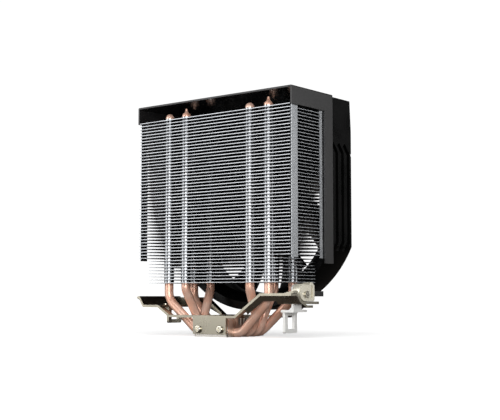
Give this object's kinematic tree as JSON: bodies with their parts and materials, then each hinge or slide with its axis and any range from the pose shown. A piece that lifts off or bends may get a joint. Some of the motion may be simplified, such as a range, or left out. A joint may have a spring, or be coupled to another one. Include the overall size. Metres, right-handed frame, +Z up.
{
  "type": "cpu tower cooler",
  "caption": "Single tower air cooler with U-shaped copper heat pipes, stacked aluminium fins, a black top cover, a round-bottomed fan and a lever-drawn hook bracket.",
  "frame": {"origin": "centre of the base's contact face, where it sits on the processor", "axes": "+Z up the tower, +Y towards the fan, X along the wide face of the fins, with the lever at +X"},
  "size_m": [0.1366, 0.0687, 0.159],
  "materials": {
    "fin_aluminium": "bright rolled sheet",
    "base_aluminium": "milled",
    "pipe_copper": "drawn copper tube, satin",
    "bracket_steel": "stamped sheet, nickel plated",
    "screw_steel": "nickel plated",
    "lever_steel": "nickel plated",
    "grip_plastic": "moulded",
    "cover_plastic": "fine moulded texture outside, gloss inside",
    "fan_plastic": "moulded",
    "rotor_plastic": "smoky, moulded",
    "cap_plastic": "plain, moulded",
    "pad_rubber": "moulded silicone",
    "dark_screw": "black oxide",
    "bearing_brass": "turned",
    "bearing_bronze": "sintered, oiled",
    "board_laminate": "green solder mask",
    "core_steel": "stacked laminations",
    "coil_copper": "enamelled wire",
    "yoke_steel": "deep drawn",
    "magnet_rubber": "bonded ferrite",
    "shaft_steel": "ground",
    "clip_plastic": "moulded nylon"
  },
  "bodies": {
    "tower": {"base_block": "base_aluminium", "finned_clamp_block": "base_aluminium", "retention_bracket": "bracket_steel", "bracket_screws": "screw_steel", "left_hook": "bracket_steel", "hook_rivets": "screw_steel", "heat_pipe_outer_near": "pipe_copper", "heat_pipe_inner_near": "pipe_copper", "heat_pipe_inner_far": "pipe_copper", "heat_pipe_outer_far": "pipe_copper", "narrow_fins": "fin_aluminium", "wide_fins": "fin_aluminium", "top_cover": "cover_plastic", "cover_screws": "dark_screw", "fan_frame": "fan_plastic", "fan_pads": "pad_rubber", "motor_mount_cap": "cap_plastic", "bearing_holder": "bearing_brass", "bearing_sleeve": "bearing_bronze", "circuit_board": "board_laminate", "stator_core": "core_steel", "stator_coils": "coil_copper"},
    "rotor": {"fan_rotor": "rotor_plastic", "rotor_yoke": "yoke_steel", "magnet_ring": "magnet_rubber", "fan_shaft": "shaft_steel", "shaft_clip": "clip_plastic"},
    "hook": {"right_hook": "bracket_steel", "lever_pin": "screw_steel"},
    "lever": {"cam_lever": "lever_steel", "lever_grip": "grip_plastic"}
  },
  "joints": [
    {"name": "fan_spin", "type": "hinge", "parent": "tower", "child": "rotor", "pos_m": [0, 0.0215, 0.092], "axis": [0, 1, 0], "continuous": true},
    {"name": "hook_draw", "type": "slide", "parent": "tower", "child": "hook", "axis": [0, 0, 1], "range_m": [0, 0.0033]},
    {"name": "lever_turn", "type": "hinge", "parent": "hook", "child": "lever", "pos_m": [0.0632, -0.004, 0.0277], "axis": [1, 0, 0], "range_deg": [0, 140]}
  ],
  "couplings": [
    {"joint": "lever_turn", "follows": "hook_draw", "rad_per_m": 740.4}
  ]
}
